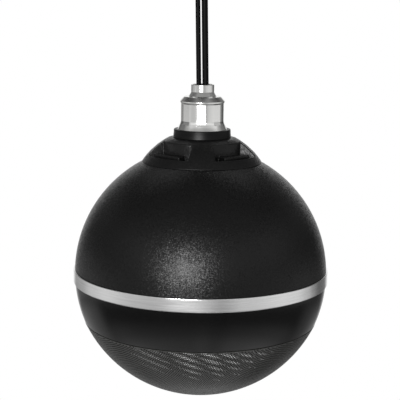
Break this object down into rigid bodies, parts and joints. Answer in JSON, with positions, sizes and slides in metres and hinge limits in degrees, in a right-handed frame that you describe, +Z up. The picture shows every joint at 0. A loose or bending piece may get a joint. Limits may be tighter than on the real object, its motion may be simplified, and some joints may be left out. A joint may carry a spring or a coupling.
{
  "type": "ceiling speaker",
  "caption": "Ball-shaped pendant loudspeaker hung from a ceiling cup on a steel wire and a cable, with a metal gland, ribbed cap, bright waist band and domed perforated grille.",
  "frame": {"origin": "centre of the ceiling bracket's two screw holes, on the plane of the ceiling", "axes": "+Z up into the ceiling, along the ball's axis; +X along the line of the two bracket holes, to the right seen from the front; -Y is the front"},
  "size_m": [0.2019, 0.202, 0.3579],
  "materials": {
    "upper_shell": "fine spark-eroded moulding texture, black",
    "lower_shell": "fine spark-eroded moulding texture, black",
    "shell_screws": "zinc plated",
    "trim_band": "fine brushed, clear anodised",
    "grille": "perforated steel sheet, dark grey powder coat",
    "vent_cap": "fine moulding texture, black",
    "collar_ring": "smooth satin black",
    "gland_body": "turned, satin nickel",
    "gland_ring": "turned, satin nickel",
    "gland_seal": "black moulded rubber",
    "gland_nipple": "turned and plated",
    "gland_locknut": "turned and plated",
    "load_washer": "zinc plated",
    "wire_stop": "crimped, bare",
    "hanger_plate": "zinc plated sheet",
    "input_terminal": "moulded nylon",
    "transformer_core": "varnished laminations",
    "transformer_bobbin": "taped winding",
    "transformer_strap": "zinc plated sheet",
    "driver_terminal": "phenolic board",
    "driver_leads": "PVC insulated leads",
    "damping_lining": "polyester wadding",
    "baffle_ring": "moulded, black",
    "driver_basket": "pressed steel, black coat",
    "driver_screws": "blackened",
    "driver_gasket": "fibre board",
    "surround": "moulded butyl rubber",
    "cone": "pressed paper pulp",
    "dust_cap": "pressed paper pulp",
    "voice_coil_former": "rolled foil",
    "voice_coil_winding": "enamelled copper wire",
    "spider": "resin dipped cotton",
    "top_plate": "zinc plated",
    "magnet_ring": "sintered ferrite",
    "pole_yoke": "zinc plated",
    "suspension_wire": "black sheathed steel wire",
    "speaker_cable": "black PVC sheath",
    "ceiling_cup": "satin black",
    "ceiling_bracket": "zinc plated sheet",
    "cup_grip": "turned, satin nickel",
    "cup_grip_nut": "turned and plated",
    "cup_grip_insert": "black moulded rubber",
    "ceiling_terminal": "moulded nylon",
    "ceiling_wire_stop": "crimped, bare"
  },
  "bodies": {
    "housing": {"upper_shell": "upper_shell", "lower_shell": "lower_shell", "shell_screws": "shell_screws", "trim_band": "trim_band", "grille": "grille", "vent_cap": "vent_cap", "collar_ring": "collar_ring", "gland_body": "gland_body", "gland_ring": "gland_ring", "gland_seal": "gland_seal", "gland_nipple": "gland_nipple", "gland_locknut": "gland_locknut", "load_washer": "load_washer", "wire_stop": "wire_stop", "hanger_plate": "hanger_plate", "input_terminal": "input_terminal", "transformer_core": "transformer_core", "transformer_bobbin": "transformer_bobbin", "transformer_strap": "transformer_strap", "driver_terminal": "driver_terminal", "driver_leads": "driver_leads", "damping_lining": "damping_lining", "baffle_ring": "baffle_ring", "driver_basket": "driver_basket", "driver_screws": "driver_screws", "driver_gasket": "driver_gasket", "surround": "surround", "spider": "spider", "top_plate": "top_plate", "magnet_ring": "magnet_ring", "pole_yoke": "pole_yoke", "suspension_wire": "suspension_wire", "speaker_cable": "speaker_cable", "ceiling_cup": "ceiling_cup", "ceiling_bracket": "ceiling_bracket", "cup_grip": "cup_grip", "cup_grip_nut": "cup_grip_nut", "cup_grip_insert": "cup_grip_insert", "ceiling_terminal": "ceiling_terminal", "ceiling_wire_stop": "ceiling_wire_stop"},
    "cone_assembly": {"cone": "cone", "dust_cap": "dust_cap", "voice_coil_former": "voice_coil_former", "voice_coil_winding": "voice_coil_winding"}
  },
  "joints": [
    {"name": "cone_travel", "type": "slide", "parent": "housing", "child": "cone_assembly", "axis": [0, 0, 1], "range_m": [-0.003, 0.003], "stiffness_N_per_m": 1500, "deforming": ["surround", "spider"]}
  ]
}
